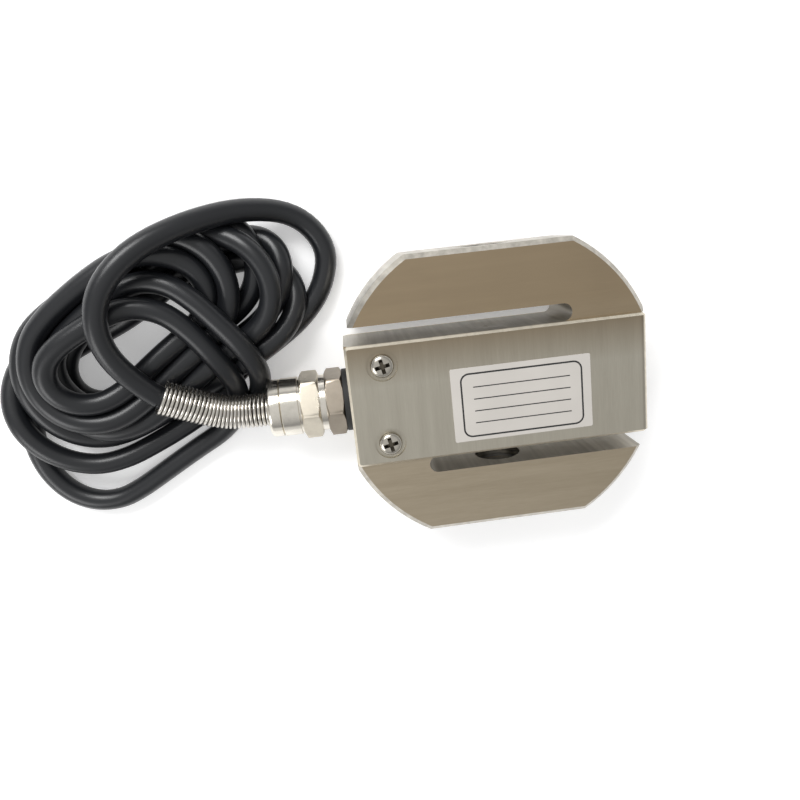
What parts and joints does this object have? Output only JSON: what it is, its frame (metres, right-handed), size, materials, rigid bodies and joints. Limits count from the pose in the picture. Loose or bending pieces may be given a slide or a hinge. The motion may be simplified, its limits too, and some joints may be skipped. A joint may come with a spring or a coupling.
{
  "type": "s type load cell",
  "caption": "S-shaped steel tension and compression load cell with threaded load holes, a wrapped sheet cover, a gland with a spring strain relief and a coiled signal cable.",
  "frame": {"origin": "centre of the rear cover face, which the cell lies on", "axes": "+Y along the load axis to the limb whose slot opens towards the cable, +Z out of the labelled front face, -X along the cable's exit"},
  "size_m": [0.142, 0.0764, 0.0227],
  "materials": {
    "body": "nickel-plated alloy steel, fine horizontal grain",
    "cover": "stainless sheet, vertical brushed sheen, bevelled edges",
    "screws": "nickel-plated screws",
    "label": "blank off-white adhesive label, satin",
    "gland_metal": "nickel-plated brass, satin",
    "spring": "bright spring wire",
    "seal_rubber": "black, matt",
    "washer_metal": "plain",
    "jacket": "black, satin",
    "potting": "silicone, matt",
    "foil": "polyimide backing with metal foil",
    "board": "glass-fibre board",
    "resistor": "lacquered",
    "lead_wire": "enamelled copper",
    "core_red": "insulation, satin",
    "core_black": "insulation, satin",
    "core_green": "insulation, satin",
    "core_white": "insulation, satin",
    "tinned": "tinned copper strands"
  },
  "bodies": {
    "root": {"s_beam": "body", "wrap_cover": "cover", "label": "label", "cover_screw_front_upper": "screws", "cover_screw_front_lower": "screws", "cover_screw_rear_upper": "screws", "cover_screw_rear_lower": "screws", "gland_washer": "seal_rubber", "gland_body": "gland_metal", "clamp_nut": "gland_metal", "spring_collar": "gland_metal", "gland_seal": "seal_rubber", "slip_washer": "washer_metal", "spring_sleeve": "spring", "cable_inner": "jacket", "terminal_board": "board", "trim_resistors": "resistor", "gauge_leads": "lead_wire", "potting_front": "potting", "potting_rear": "potting", "strain_gauge_upper_left": "foil", "strain_gauge_lower_left": "foil", "strain_gauge_upper_right": "foil", "strain_gauge_lower_right": "foil", "core_red": "core_red", "core_black": "core_black", "core_green": "core_green", "core_white": "core_white", "tail_core_red": "core_red", "tail_core_black": "core_black", "tail_core_green": "core_green", "tail_core_white": "core_white", "tail_strands": "tinned", "cable_lead": "jacket", "cable_tail": "jacket", "cable_hank": "jacket"}
  },
  "joints": []
}
